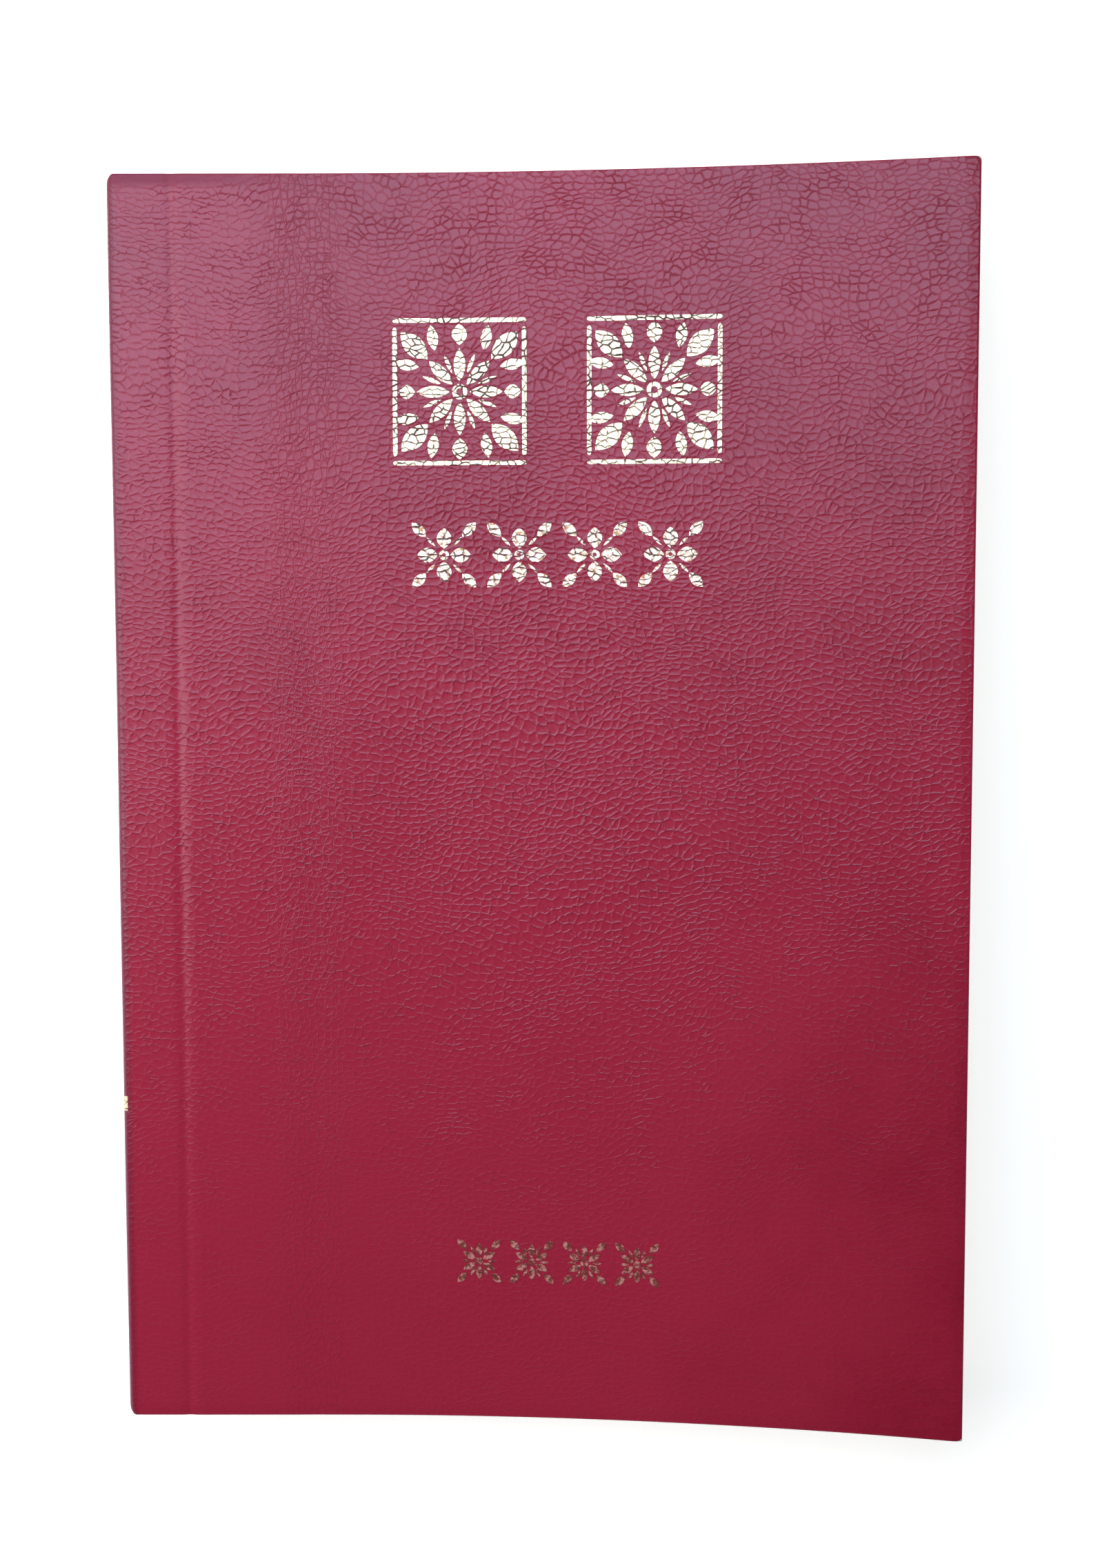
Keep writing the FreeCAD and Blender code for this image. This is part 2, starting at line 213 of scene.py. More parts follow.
def grain_fields(shader):
    """The pressed grain: its place, its cell coordinate, and its height from 0 in the grooves to 1.
    Grooves that run along the rows are deeper than those across them."""
    place = shader.uv("sheet")
    drift = shader.noise(place, 0.05, detail=1.0, output="Color")
    drift = shader.vector("SUBTRACT", drift, (0.5, 0.5, 0.5))
    drifted = shader.vector("MULTIPLY_ADD", drift, (3.0, 8.0, 0.0), place)
    ripple = shader.noise(drifted, 0.7, detail=3.0, roughness=0.6, output="Color")
    ripple = shader.vector("SUBTRACT", ripple, (0.5, 0.5, 0.5))
    rippled = shader.vector("MULTIPLY_ADD", ripple, (0.85, 0.62, 0.0), drifted)
    cells = shader.vector("MULTIPLY", rippled, (1 / GRAIN_LENGTH, 1 / GRAIN_WIDTH, 1.0))
    edge = shader.cell_edge(cells, 0.9)
    groove = shader.math("SUBTRACT", 1.0, shader.step(edge, 0.0, 0.19))
    offset = shader.vector("SUBTRACT", shader.cell_centre(cells, 0.9), cells)
    offset = shader.vector("ABSOLUTE", shader.vector("NORMALIZE", offset, (0, 0, 0)), (0, 0, 0))
    across = shader.node_output("ShaderNodeSeparateXYZ", offset, 1)
    up = shader.node_output("ShaderNodeSeparateXYZ", place, 1)
    along = shader.node_output("ShaderNodeSeparateXYZ", place, 0)
    by_spine = shader.step(shader.math("ABSOLUTE", along), 18.0, 42.0)
    even = shader.math("MULTIPLY", by_spine, shader.step(up, 10.0, 80.0, 0.28, 0.65))
    across = shader.step(across, 0.30, 0.85)
    groove = shader.math("MULTIPLY", groove, shader.math("MAXIMUM", across, shader.math("MAXIMUM", even, 0.06)))
    fade = shader.step(shader.noise(place, 0.22, detail=2.0), 0.30, 0.60, 1.0, 0.5)
    pressed = shader.math("MULTIPLY", shader.step(up, -95.0, 5.0, 0.45, 1.0),
                          shader.math("SUBTRACT", 1.0, smooth_band(shader, along, up)))
    groove = shader.math("MULTIPLY", groove, shader.math("MULTIPLY", fade, pressed))
    folds = shader.vector("MULTIPLY", rippled, (1 / 0.95, 1 / 2.6, 1.0))
    folds = shader.math("SUBTRACT", 1.0, shader.step(shader.cell_edge(folds, 0.9), 0.0, 0.12))
    fold_at = (CURL_X - SPINE_X) / MM + 5.0
    off_fold = shader.math("ABSOLUTE", shader.math("SUBTRACT", along, fold_at))
    folds = shader.math("MULTIPLY", folds, shader.step(off_fold, 3.0, 8.0, 0.6, 0.0))
    groove = shader.math("MAXIMUM", groove, folds)
    return place, rippled, cells, shader.math("SUBTRACT", 1.0, groove)


def smooth_band(shader, along, up):
    """1 on the strip at the head, by the spine, where the grain is rubbed smooth and the colour goes darker."""
    at_head = shader.step(up, HEAD_Y / MM - 2.6, HEAD_Y / MM - 1.0)
    return shader.math("MULTIPLY", at_head, shader.step(along, 12.0, 45.0, 0.9, 0.0))


def leatherette():
    shader = Shader("leatherette")
    place, rippled, cells, groove = grain_fields(shader)
    fine = shader.noise(rippled, 3.2, detail=3.0, roughness=0.6)
    pillow = shader.step(shader.cell_edge(cells, 0.95), 0.0, 0.45)
    height = shader.math("MULTIPLY_ADD", fine, 0.10, shader.math("MULTIPLY_ADD", pillow, 0.28, groove))
    up = shader.node_output("ShaderNodeSeparateXYZ", place, 1)
    along = shader.math("ABSOLUTE", shader.node_output("ShaderNodeSeparateXYZ", place, 0))
    off_middle = shader.math("ABSOLUTE", shader.math("SUBTRACT", along, 72.0))
    depth = shader.math("MULTIPLY", shader.step(up, 20.0, 85.0, 1.0, 0.72), shader.step(up, -45.0, 5.0, 0.65, 1.0))
    depth = shader.math("MULTIPLY", depth, shader.step(off_middle, 10.0, 34.0, 1.45, 0.95))
    normal = shader.bump(shader.math("MULTIPLY", height, depth), GRAIN_DEPTH)

    # Painted shade: the colour darkens towards the fore-edge, where the cover curls up, and more so towards the
    # tail.
    painted_fore_edge_shade = shader.math("MULTIPLY", shader.step(along, 75.0, 155.0), shader.step(up, -90.0, 40.0, 1.2, 0.3))
    # Painted shade: the colour darkens towards the head, so that the sheen there keeps the cool colour of the
    # light.
    painted_head_shade = shader.step(up, -30.0, 80.0, 0.0, 0.75)
    tone = shader.step(shader.noise(place, 0.035, detail=3.0), 0.3, 0.7, -0.15, 0.25)
    tone = shader.math("ADD", tone, shader.math("ADD", painted_fore_edge_shade, painted_head_shade))
    # The face goes from CRIMSON to CRIMSON_DEEP by a random tone plus the painted shade above.
    face = shader.mix(shader.step(tone, 0.0, 1.4), CRIMSON, CRIMSON_DEEP)
    cell = shader.cell_tone(cells, 0.95)
    face = shader.mix(shader.math("MULTIPLY", cell, 0.18), face, CRIMSON_WORN)
    # Painted shade: the grain's grooves are darkened towards the groove colour.
    colour = shader.mix(shader.step(groove, 0.0, 0.8, 0.62, 0.0), face, CRIMSON_GROOVE_SHADE)
    # Painted shade: the rounded edge at the spine is darkened towards CRIMSON_SHADE. The strip at the head also
    # goes darker towards its edge.
    turned = shader.math("MINIMUM", shader.step(along, SPINE_FLAT / MM - 1.2, SPINE_FLAT / MM + 0.5, 0.15, 0.85),
                         shader.step(along, SPINE_FLAT / MM + 0.7, STRIP_START / MM + 0.9, 0.85, 0.0))
    band = shader.math("MULTIPLY", smooth_band(shader, along, up), 0.60)
    colour = shader.mix(shader.math("MAXIMUM", turned, band), colour, CRIMSON_SHADE)
    rough = shader.math("MULTIPLY", shader.math("SUBTRACT", 1.0, groove), shader.step(up, 10.0, 80.0, 0.16, 0.40))
    rough = shader.math("MULTIPLY_ADD", fine, 0.12, shader.math("ADD", rough, 0.22))
    rough = shader.math("MULTIPLY_ADD", band, 0.45, rough)
    shader.set(Base_Color=colour, Roughness=rough, Normal=normal)
    shader.set(Specular_IOR_Level=0.5, Specular_Tint=(0.70, 0.80, 1.0, 1))
    return shader.material


def gold_foil(name, pale, dark, wear_and_shade, metal=0.85):
    """Foil pressed into the leatherette: bright on the cells and broken along the grooves. The fourth argument,
    from 0 to 1, is how much of its face is dulled, and metal how much of it still shines as metal. Both are partly
    wear and partly painted shade: rows lower on the cover get more dulling and less metal."""
    shader = Shader(name)
    place, rippled, cells, groove = grain_fields(shader)
    speck = shader.noise(place, 5.0, detail=3.0, roughness=0.7)
    patch = shader.noise(place, 1.3, detail=3.0, roughness=0.65)
    height = shader.math("MULTIPLY_ADD", speck, 0.16, groove)
    normal = shader.bump(height, GRAIN_DEPTH)
    kept = shader.step(groove, 0.48, 0.92)
    dull = shader.step(patch, 0.62 - 0.45 * wear_and_shade, 0.78 - 0.45 * wear_and_shade)
    gold = shader.mix(dull, pale, dark)
    gold = shader.mix(shader.step(speck, 0.56, 0.74, 0.0, 0.45), gold, dark)
    # The cracks along the grooves show the leatherette, darkened with painted shade in the groove.
    colour = shader.mix(kept, FOIL_CRACK_SHADE, gold)
    shader.set(Base_Color=colour, Metallic=shader.math("MULTIPLY", kept, metal),
               Roughness=shader.math("MULTIPLY_ADD", speck, 0.20, 0.30), Normal=normal)
    return shader.material


PAPER_WHITE = (0.86, 0.82, 0.72, 1)
PAPER_SHADE = (0.76, 0.71, 0.59, 1)
PRINT_GREY = (0.30, 0.27, 0.24, 1)
EDGE_SHADE = (0.52, 0.47, 0.37, 1)
MARGIN_INNER = 15.0
MARGIN_OUTER = 110.0
MARGIN_HEAD = 78.0
LINE_PITCH = 3.3


def paper(name, colour, shade, has_map=True, printed=False):
    """Uncoated paper, with fibres and a slow unevenness. Printed pages have two columns of plain grey bars
    in place of their text. CAD nodes have no map in millimetres, so their paper goes by place."""
    shader = Shader(name)
    if has_map:
        place = shader.uv("sheet")
    else:
        place = shader.node("ShaderNodeTexCoord").outputs["Object"]
        place = shader.vector("MULTIPLY", place, (1000.0, 1000.0, 1000.0))
    fibre = shader.noise(place, 1.6, detail=4.0, roughness=0.65)
    cloud = shader.noise(place, 0.05, detail=2.0)
    tone = shader.math("MULTIPLY_ADD", fibre, 0.4, shader.math("MULTIPLY", cloud, 0.6))
    ground = shader.mix(tone, colour, shade)
    if printed:
        ground = shader.mix(print_marks(shader, place), ground, PRINT_GREY)
    shader.set(Base_Color=ground, Roughness=0.75, Normal=shader.bump(fibre, 0.02 * MM))
    shader.set(Specular_IOR_Level=0.3)
    return shader.material


def print_marks(shader, place):
    """1 on the bars that stand for words, in two columns inside the margins."""
    along = shader.math("ABSOLUTE", shader.node_output("ShaderNodeSeparateXYZ", place, 0))
    up = shader.node_output("ShaderNodeSeparateXYZ", place, 1)
    row = shader.math("DIVIDE", up, LINE_PITCH)
    number = shader.math("FLOOR", row)
    in_row = shader.math("ABSOLUTE", shader.math("SUBTRACT", shader.math("FRACT", row), 0.5))
    line = shader.step(in_row, 0.13, 0.19, 1.0, 0.0)
    words = shader.node("ShaderNodeCombineXYZ")
    shader.feed(words.inputs[0], shader.math("MULTIPLY", along, 0.33))
    shader.feed(words.inputs[1], shader.math("MULTIPLY", number, 7.31))
    word = shader.step(shader.noise(words.outputs[0], 1.0, detail=0.0), 0.40, 0.42)
    middle = (MARGIN_INNER + MARGIN_OUTER) / 2
    from_middle = shader.math("ABSOLUTE", shader.math("SUBTRACT", along, middle))
    column = shader.math("MULTIPLY", shader.step(from_middle, 2.0, 2.2),
                         shader.step(from_middle, middle - MARGIN_INNER, middle - MARGIN_INNER + 0.2, 1.0, 0.0))
    inside = shader.step(shader.math("ABSOLUTE", up), MARGIN_HEAD, MARGIN_HEAD + 0.2, 1.0, 0.0)
    marks = shader.math("MULTIPLY", shader.math("MULTIPLY", line, word), shader.math("MULTIPLY", column, inside))
    return shader.math("MULTIPLY", marks, 0.75)


def page_edges():
    """The cut edges of many sheets together: fine lines along the block, a few of them darker."""
    shader = Shader("page_edges")
    place = shader.node("ShaderNodeTexCoord").outputs["Object"]
    layers = shader.vector("MULTIPLY", place, (18.0, 18.0, 11000.0))
    line = shader.noise(layers, 1.0, detail=3.0, roughness=0.7)
    broad = shader.noise(shader.vector("MULTIPLY", place, (30.0, 30.0, 1500.0)), 1.0, detail=2.0)
    tone = shader.math("MULTIPLY_ADD", shader.step(line, 0.40, 0.75), 0.65,
                       shader.math("MULTIPLY", shader.step(broad, 0.35, 0.70), 0.30))
    shader.set(Base_Color=shader.mix(tone, PAPER_WHITE, EDGE_SHADE), Roughness=0.85,
               Normal=shader.bump(line, 0.05 * MM), Specular_IOR_Level=0.2)
    return shader.material


def sewing_thread():
    """White linen thread, with the slant of its two plies."""
    shader = Shader("sewing_thread")
    place = shader.node("ShaderNodeTexCoord").outputs["Object"]
    place = shader.vector("MULTIPLY", place, (6000.0, 9000.0, 9000.0))
    ply = shader.noise(place, 1.0, detail=2.0)
    shader.set(Base_Color=shader.mix(ply, (0.82, 0.79, 0.70, 1), (0.62, 0.57, 0.47, 1)), Roughness=0.8,
               Normal=shader.bump(ply, 0.03 * MM))
    return shader.material


def binding_glue():
    """Milky binding glue, dried a little uneven."""
    shader = Shader("binding_glue")
    place = shader.node("ShaderNodeTexCoord").outputs["Object"]
    lumps = shader.noise(shader.vector("MULTIPLY", place, (900.0, 500.0, 900.0)), 1.0, detail=3.0)
    shader.set(Base_Color=shader.mix(lumps, (0.80, 0.78, 0.68, 1), (0.66, 0.62, 0.50, 1)), Roughness=0.45,
               Normal=shader.bump(lumps, 0.15 * MM))
    return shader.material


LEATHERETTE = leatherette()
# The cover's three rows are one foil. The subtitle and imprint rows get redder colours, more dulling and less
# metal, and the imprint darker colours: painted shade for the dimmer reflection lower on the cover.
TITLE_FOIL = gold_foil("title_foil", GOLD_PALE, GOLD_DARK, 0.0)
SUBTITLE_FOIL = gold_foil("subtitle_foil", GOLD_ROSE, GOLD_DARK, 0.30, 0.75)
IMPRINT_FOIL = gold_foil("imprint_foil", GOLD_RED, GOLD_BROWN, 0.50, 0.35)
SPINE_FOIL = gold_foil("spine_foil", GOLD_PALE, GOLD_DARK, 0.2)
PAGE_PAPER = paper("page_paper", PAPER_WHITE, PAPER_SHADE)
PRINTED_PAPER = paper("printed_paper", PAPER_WHITE, PAPER_SHADE, printed=True)
PAGE_EDGES = page_edges()
ENDPAPER = paper("endpaper", (0.88, 0.85, 0.78, 1), (0.79, 0.75, 0.66, 1), has_map=False)
SEWING_THREAD = sewing_thread()
BINDING_GLUE = binding_glue()


# ---------------------------------------------------------------- mesh helpers

def make_mesh(name, corners, faces, uvs, material, smooth=True):
    """A mesh object. uvs holds one pair per corner, in millimetres along and across the sheet."""
    mesh = bpy.data.meshes.new(name)
    mesh.from_pydata(corners, [], faces)
    layer = mesh.uv_layers.new(name="sheet")
    for loop in mesh.loops:
        layer.data[loop.index].uv = uvs[loop.vertex_index]
    mesh.polygons.foreach_set("use_smooth", [smooth] * len(mesh.polygons))
    mesh.materials.append(material)
    made = bpy.data.objects.new(name, mesh)
    bpy.context.scene.collection.objects.link(made)
    return made


def closed_shell(rows_a, rows_b):
    """Corners and faces of a closed shell between two equal grids of points."""
    count, width = len(rows_a), len(rows_a[0])
    corners = [p for row in rows_a for p in row] + [p for row in rows_b for p in row]
    half = count * width
    faces = []
    for i in range(count - 1):
        for j in range(width - 1):
            a, b = i * width + j, (i + 1) * width + j
            faces.append((a, a + 1, b + 1, b))
            faces.append((half + b, half + b + 1, half + a + 1, half + a))
    for i in range(count - 1):
        for j in (0, width - 1):
            a, b = i * width + j, (i + 1) * width + j
            wall = (a, b, half + b, half + a)
            faces.append(wall if j == 0 else wall[::-1])
    for j in range(width - 1):
        for i in (0, count - 1):
            a, b = i * width + j, i * width + j + 1
            wall = (a, half + a, half + b, b)
            faces.append(wall if i == 0 else wall[::-1])
    return corners, faces


# ---------------------------------------------------------------- the wrap cover

def wrap_point(along, depth):
    """Where the sheet is: along it from the middle of the spine, positive to the front, and depth below
    its outer face. Returns x and z."""
    front = along >= 0
    run = abs(along)
    if run < SPINE_FLAT:
        x, rise = SPINE_X + depth, run
    elif run < STRIP_START:
        turn = (run - SPINE_FLAT) / SPINE_ROUND
        radius = SPINE_ROUND - depth
        x = SPINE_X + SPINE_ROUND - radius * math.cos(turn)
        rise = SPINE_FLAT + radius * math.sin(turn)
    elif run < CURL_AT or not front:
        x, rise = SPINE_X + SPINE_ROUND + run - STRIP_START, MID_Z - depth
    else:
        turn = (run - CURL_AT) / CURL_RADIUS
        radius = CURL_RADIUS + depth
        x = CURL_X + radius * math.sin(turn)
        rise = MID_Z + CURL_RADIUS - radius * math.cos(turn)
    return x, MID_Z + rise if front else MID_Z - rise


def spine_corner_pull(along):
    """How far head and tail edges draw in where the sheet turns at the spine: a rounded corner that dies
    out across the spine."""
    radius = 1.2 * MM
    inside = wrap_point(abs(along), 0.0)[0] - SPINE_X
    pull = radius - math.sqrt(radius ** 2 - (radius - min(inside, radius)) ** 2)
    return pull * math.exp(-max(0.0, SPINE_FLAT - abs(along)) / (1.5 * MM))


def fore_corner_pull(to_end):
    """How far head and tail edges draw in beside the fore-edge: a small corner radius."""
    radius = 0.9 * MM
    if to_end > radius:
        return 0.0
    return radius - math.sqrt(radius ** 2 - (radius - to_end) ** 2)


def edge_droop(to_edge, depth):
    """The sheet's outer face rolls down to its cut edges."""
    return depth * math.exp(-(to_edge / (1.0 * MM)) ** 2)


def wrap_relief(along, y):
    """Depth of the outer face below the true sheet: the scores, a hand-flexed waviness and the roll at the
    cut edges."""
    run = abs(along)
    to_end = (FRONT_END if along > 0 else BACK_END) - run
    near_spine = 0.10 * MM * math.exp(-(run / (45 * MM)) ** 2)
    droop = edge_droop(HALF_HEIGHT_Y - abs(y), 0.10 * MM + near_spine) + edge_droop(to_end, 0.12 * MM)
    wander = 0.12 * MM * noise.noise(Vector((y * 22, along * 3, 1.7)))
    score = 0.12 * MM * math.exp(-((run - SCORE_AT - wander) / (0.75 * MM)) ** 2)
    lip = 0.03 * MM * math.exp(-((run - SCORE_AT - 2.1 * MM) / (1.0 * MM)) ** 2)
    flex = 0.05 * MM * math.exp(-((run - CURL_AT + 1.5 * MM) / (1.4 * MM)) ** 2)
    wave = 0.10 * MM * noise.noise(Vector((along * 28, y * 24, 4.1)))
    return score - lip + flex + wave + droop


def spread(start, end, step):
    """Evenly spaced values from start to end, about a step apart, both ends included."""
    count = max(1, round(abs(end - start) / step))
    return [start + (end - start) * i / count for i in range(count + 1)]


def spread_to_edge(start, end, step):
    """As spread, with the last few millimetres before end in finer steps."""
    fine = math.copysign(2.8 * MM, end - start)
    return spread(start, end - fine, step)[:-1] + spread(end - fine, end, 0.35 * MM)


EDGE_EASE = ((0.0, 0.16 * MM), (0.05 * MM, 0.06 * MM), (0.16 * MM, 0.0))


def eased(values, start_open, end_open):
    """Pairs of a place along one direction and how far the cut edge is eased down there."""
    placed = [(v, 0.0) for v in values[1:-1]]
    first = [(values[0] + inset, drop) for inset, drop in EDGE_EASE] if start_open else [(values[0], 0.0)]
    last = [(values[-1] - inset, drop) for inset, drop in reversed(EDGE_EASE)] if end_open else [(values[-1], 0.0)]
    return first + placed + last


def wrap_piece(name, stations, start_open, end_open):
    """One stretch of the wrap cover, as a closed sheet with its cut edges eased."""
    columns = eased(stations, start_open, end_open)
    to_head = spread_to_edge(0.0, HALF_HEIGHT_Y, 1.6 * MM)
    rows = eased([-y for y in reversed(to_head)] + to_head[1:], True, True)
    outer, inner, places = [], [], []
    for along, along_drop in columns:
        to_end = min(abs(along - v) for v in (-BACK_END, FRONT_END))
        pull = spine_corner_pull(along) + fore_corner_pull(to_end)
        outer_row, inner_row = [], []
        for row_y, row_drop in rows:
            y = row_y * (1 - pull / HALF_HEIGHT_Y)
            drop = max(along_drop, row_drop)
            x, z = wrap_point(along, min(wrap_relief(along, y) + drop, COVER_THICK - 0.06 * MM))
            outer_row.append((x, y, max(z, 0.0)))
            x, z = wrap_point(along, COVER_THICK)
            inner_row.append((x, y, z))
            places.append((along / MM, y / MM))
        outer.append(outer_row)
        inner.append(inner_row)
    corners, faces = closed_shell(outer, inner)
    made = make_mesh(name, corners, faces, places * 2, LEATHERETTE)
    return made


def blend_spine(piece):
    """Bakes a piece's placement into its mesh."""
    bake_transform(piece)


def build_wrap():
    near_score = 2.4 * MM
    round_points = spread(SPINE_PIECE_END, STRIP_START, 0.2 * MM)
    strip_points = spread(STRIP_START, SCORE_AT - near_score, 1.0 * MM)
    score_points = spread(SCORE_AT - near_score, SCORE_AT + near_score, 0.16 * MM)
    hinge = round_points + strip_points[1:] + score_points[1:]
    front = hinge + spread_to_edge(SCORE_AT + near_score, FRONT_END, 1.4 * MM)[1:]
    back = hinge + spread_to_edge(SCORE_AT + near_score, BACK_END, 2.0 * MM)[1:]

    front_piece = wrap_piece("cover_front", front, False, True)
    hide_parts("front_cover", "front_joint_strip")
    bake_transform(front_piece)

    back_piece = wrap_piece("cover_back", [-s for s in reversed(back)], True, False)
    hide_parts("back_cover", "back_joint_strip")
    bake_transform(back_piece)

    spine = (spread(-SPINE_PIECE_END, -SPINE_FOLD, 0.7 * MM) + spread(-SPINE_FOLD, SPINE_FOLD, 0.2 * MM)[1:]
             + spread(SPINE_FOLD, SPINE_PIECE_END, 0.7 * MM)[1:])
    spine_piece = wrap_piece("cover_spine", spine, False, False)
    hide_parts("spine_cover_rear", "spine_cover_front")
    blend_spine(spine_piece)


# ---------------------------------------------------------------- foil ornaments

FOIL_RAISE = 0.02 * MM
FOIL_THICK = 0.02 * MM


def lens(centre, angle, length, width, steps=14):
    """Centreline and half-widths of a leaf shape, pointed at both ends."""
    points, widths = [], []
    for i in range(steps + 1):
        t = i / steps
        r = (t - 0.5) * length
        points.append((centre[0] + r * math.cos(angle), centre[1] + r * math.sin(angle)))
        widths.append(max(0.02, width / 2 * math.sin(math.pi * t) ** 0.8))
    return points, widths


def arc_stroke(centre, radius, start, end, width, steps=28, taper=0.0):
    """Centreline and half-widths of a curved stroke, thinning to its ends by taper."""
    points, widths = [], []
    for i in range(steps + 1):
        t = i / steps
        a = start + (end - start) * t
        points.append((centre[0] + radius * math.cos(a), centre[1] + radius * math.sin(a)))
        widths.append(width / 2 * (1 - taper * abs(2 * t - 1) ** 2))
    return points, widths


def turned(stroke, angle, centre=(0, 0)):
    """The stroke turned about a point."""
    c, s = math.cos(angle), math.sin(angle)
    points = [(centre[0] + (x - centre[0]) * c - (y - centre[1]) * s,
               centre[1] + (x - centre[0]) * s + (y - centre[1]) * c) for x, y in stroke[0]]
    return points, stroke[1]


def flower(size, petals, line):
    """A floret of the given radius, in millimetres: leaf petals, bowed lines between them and an eye."""
    strokes = []
    for i in range(petals):
        a = 2 * math.pi * i / petals + math.pi / 2
        strokes.append(turned(lens((0.62 * size, 0), 0, 0.76 * size, 2.2 * size / petals), a))
        between = a + math.pi / petals
        strokes.append(turned(lens((0.70 * size, 0), 0, 0.46 * size, line), between))
    strokes.append(arc_stroke((0, 0), 0.13 * size, 0, 2 * math.pi, line))
    return strokes


def rule(start, end, width):
    """A straight line of even width with rounded ends."""
    points = [(start[0] + (end[0] - start[0]) * t, start[1] + (end[1] - start[1]) * t)
              for t in (0, 0.01, 0.03, 0.35, 0.65, 0.97, 0.99, 1)]
    share = (0.3, 0.8, 1, 1, 1, 1, 0.8, 0.3)
    return points, [width / 2 * s for s in share]


def title_ornament():
    """A panel of the binder's kind: an eight-petal floret, a triple leaf in each corner, a rule along each
    side and a bud in the middle of each rule."""
    strokes = flower(6.2, 8, 0.6)
    for i in range(4):
        a = math.pi / 4 + i * math.pi / 2
        strokes.append(turned(lens((9.3, 0), 0, 5.4, 2.8), a))
        for side in (-1, 1):
            strokes.append(turned(lens((8.2, side * 2.7), side * 0.62, 3.6, 1.6), a))
    for side in (-1, 1):
        strokes.append(rule((-9.7, side * 10.2), (9.7, side * 10.2), 0.65))
        strokes.append(rule((side * 9.4, -9.2), (side * 9.4, 9.2), 0.65))
        strokes.append(lens((0, side * 8.2), math.pi / 2, 3.0, 2.2))
        strokes.append(lens((side * 7.7, 0), 0, 2.4, 2.0))
    return strokes


def small_ornament(size, petals):
    """A floret with a leaf in each corner of its square."""
    strokes = flower(size * 0.80, petals, 0.42)
    for i in range(4):
        a = math.pi / 4 + i * math.pi / 2
        strokes.append(turned(lens((size * 1.06, 0), 0, size * 0.58, size * 0.30), a))
    return strokes


def on_cover(along, y, height):
    x, z = wrap_point(along, wrap_relief(along, y) - height)
    return x, y, z


def foil_piece(name, placed_strokes, nodes, material):
    """Foil strokes laid on the cover. Each stroke is a thin closed strip that follows the surface."""
    corners, faces, uvs = [], [], []
    for number, ((cx, cy), (points, widths)) in enumerate(placed_strokes):
        lift = FOIL_RAISE + (number % 9) * 0.0015 * MM
        closed = math.dist(points[0], points[-1]) < 1e-6
        top, low, places = [], [], []
        for i, (px, py) in enumerate(points):
            ahead = points[(i + 1) % len(points)] if not (closed and i == len(points) - 1) else points[1]
            behind = points[i - 1] if i else (points[-2] if closed else points[0])
            if i == len(points) - 1 and not closed:
                ahead = points[i]
            dx, dy = ahead[0] - behind[0], ahead[1] - behind[1]
            run = math.hypot(dx, dy)
            nx, ny = -dy / run, dx / run
            row_top, row_low = [], []
            for side in (-1, -0.33, 0.33, 1):
                qx = cx + (px + nx * widths[i] * side) * MM
                qy = cy + (py + ny * widths[i] * side) * MM
                row_top.append(on_cover(qx, qy, lift + FOIL_THICK))
                row_low.append(on_cover(qx, qy, lift - FOIL_THICK))
                places.append((qx / MM, qy / MM))
            top.append(row_top)
            low.append(row_low)
        found, shell = closed_shell(top, low)
        first = len(corners)
        corners += found
        faces += [tuple(first + k for k in face) for face in shell]
        uvs += places * 2
    made = make_mesh(name, corners, faces, uvs, material, smooth=False)
    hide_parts(*nodes)
    return made


def build_foil():
    middle = STRIP_START - SPINE_X - SPINE_ROUND
    rows = (
        ("foil_title", "title_foil", title_ornament(), 2, 28.2, 31.2, TITLE_FOIL),
        ("foil_subtitle", "subtitle_foil", small_ornament(4.9, 4), 4, 11.0, 54.7, SUBTITLE_FOIL),
        ("foil_imprint", "imprint_foil", small_ornament(3.4, 6), 4, 7.9, 159.9, IMPRINT_FOIL),
    )
    for name, node, ornament, count, pitch, drop, material in rows:
        placed = []
        for i in range(count):
            inset = (65.0 + (i - (count - 1) / 2) * pitch) * MM
            centre = (middle + SPINE_X + inset, HEAD_Y - drop * MM)
            placed += [(centre, stroke) for stroke in ornament]
        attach(foil_piece(name, placed, [node], material), "front_cover")


def bar(start, end, width):
    """A straight stroke of even width with square ends."""
    count = 48
    points = [(start[0] + (end[0] - start[0]) * i / count, start[1] + (end[1] - start[1]) * i / count)
              for i in range(count + 1)]
    return points, [width / 2] * len(points)


def build_spine_foil():
    """Pairs of bands near head and tail, and a mark with four leaves whose ends turn onto the covers."""
    height = 2 * HALF_HEIGHT_Y / MM
    band_end = SPINE_FLAT / MM - 0.35
    mark_end = (SPINE_FLAT + 0.80 * ROUND_LENGTH) / MM
    strokes = []
    for drop in (20.0, 23.0, height - 23.0, height - 20.0):
        y = HEAD_Y / MM - drop
        strokes.append(bar((-band_end, y), (band_end, y), 0.8))
    y = HEAD_Y / MM - 136.0
    strokes.append(bar((-mark_end, y), (mark_end, y), 2.2))
    for side in (-1, 1):
        for step in (-1, 1):
            strokes.append(lens((side * 4.0, y + step * 3.6), side * step * 0.5, 4.0, 1.5))
    made = foil_piece("foil_spine", [((0, 0), stroke) for stroke in strokes],
                      ["spine_foil_rear", "spine_foil_front"], SPINE_FOIL)
    blend_spine(made)


build_wrap()
build_foil()
build_spine_foil()

# ---------------------------------------------------------------- text block


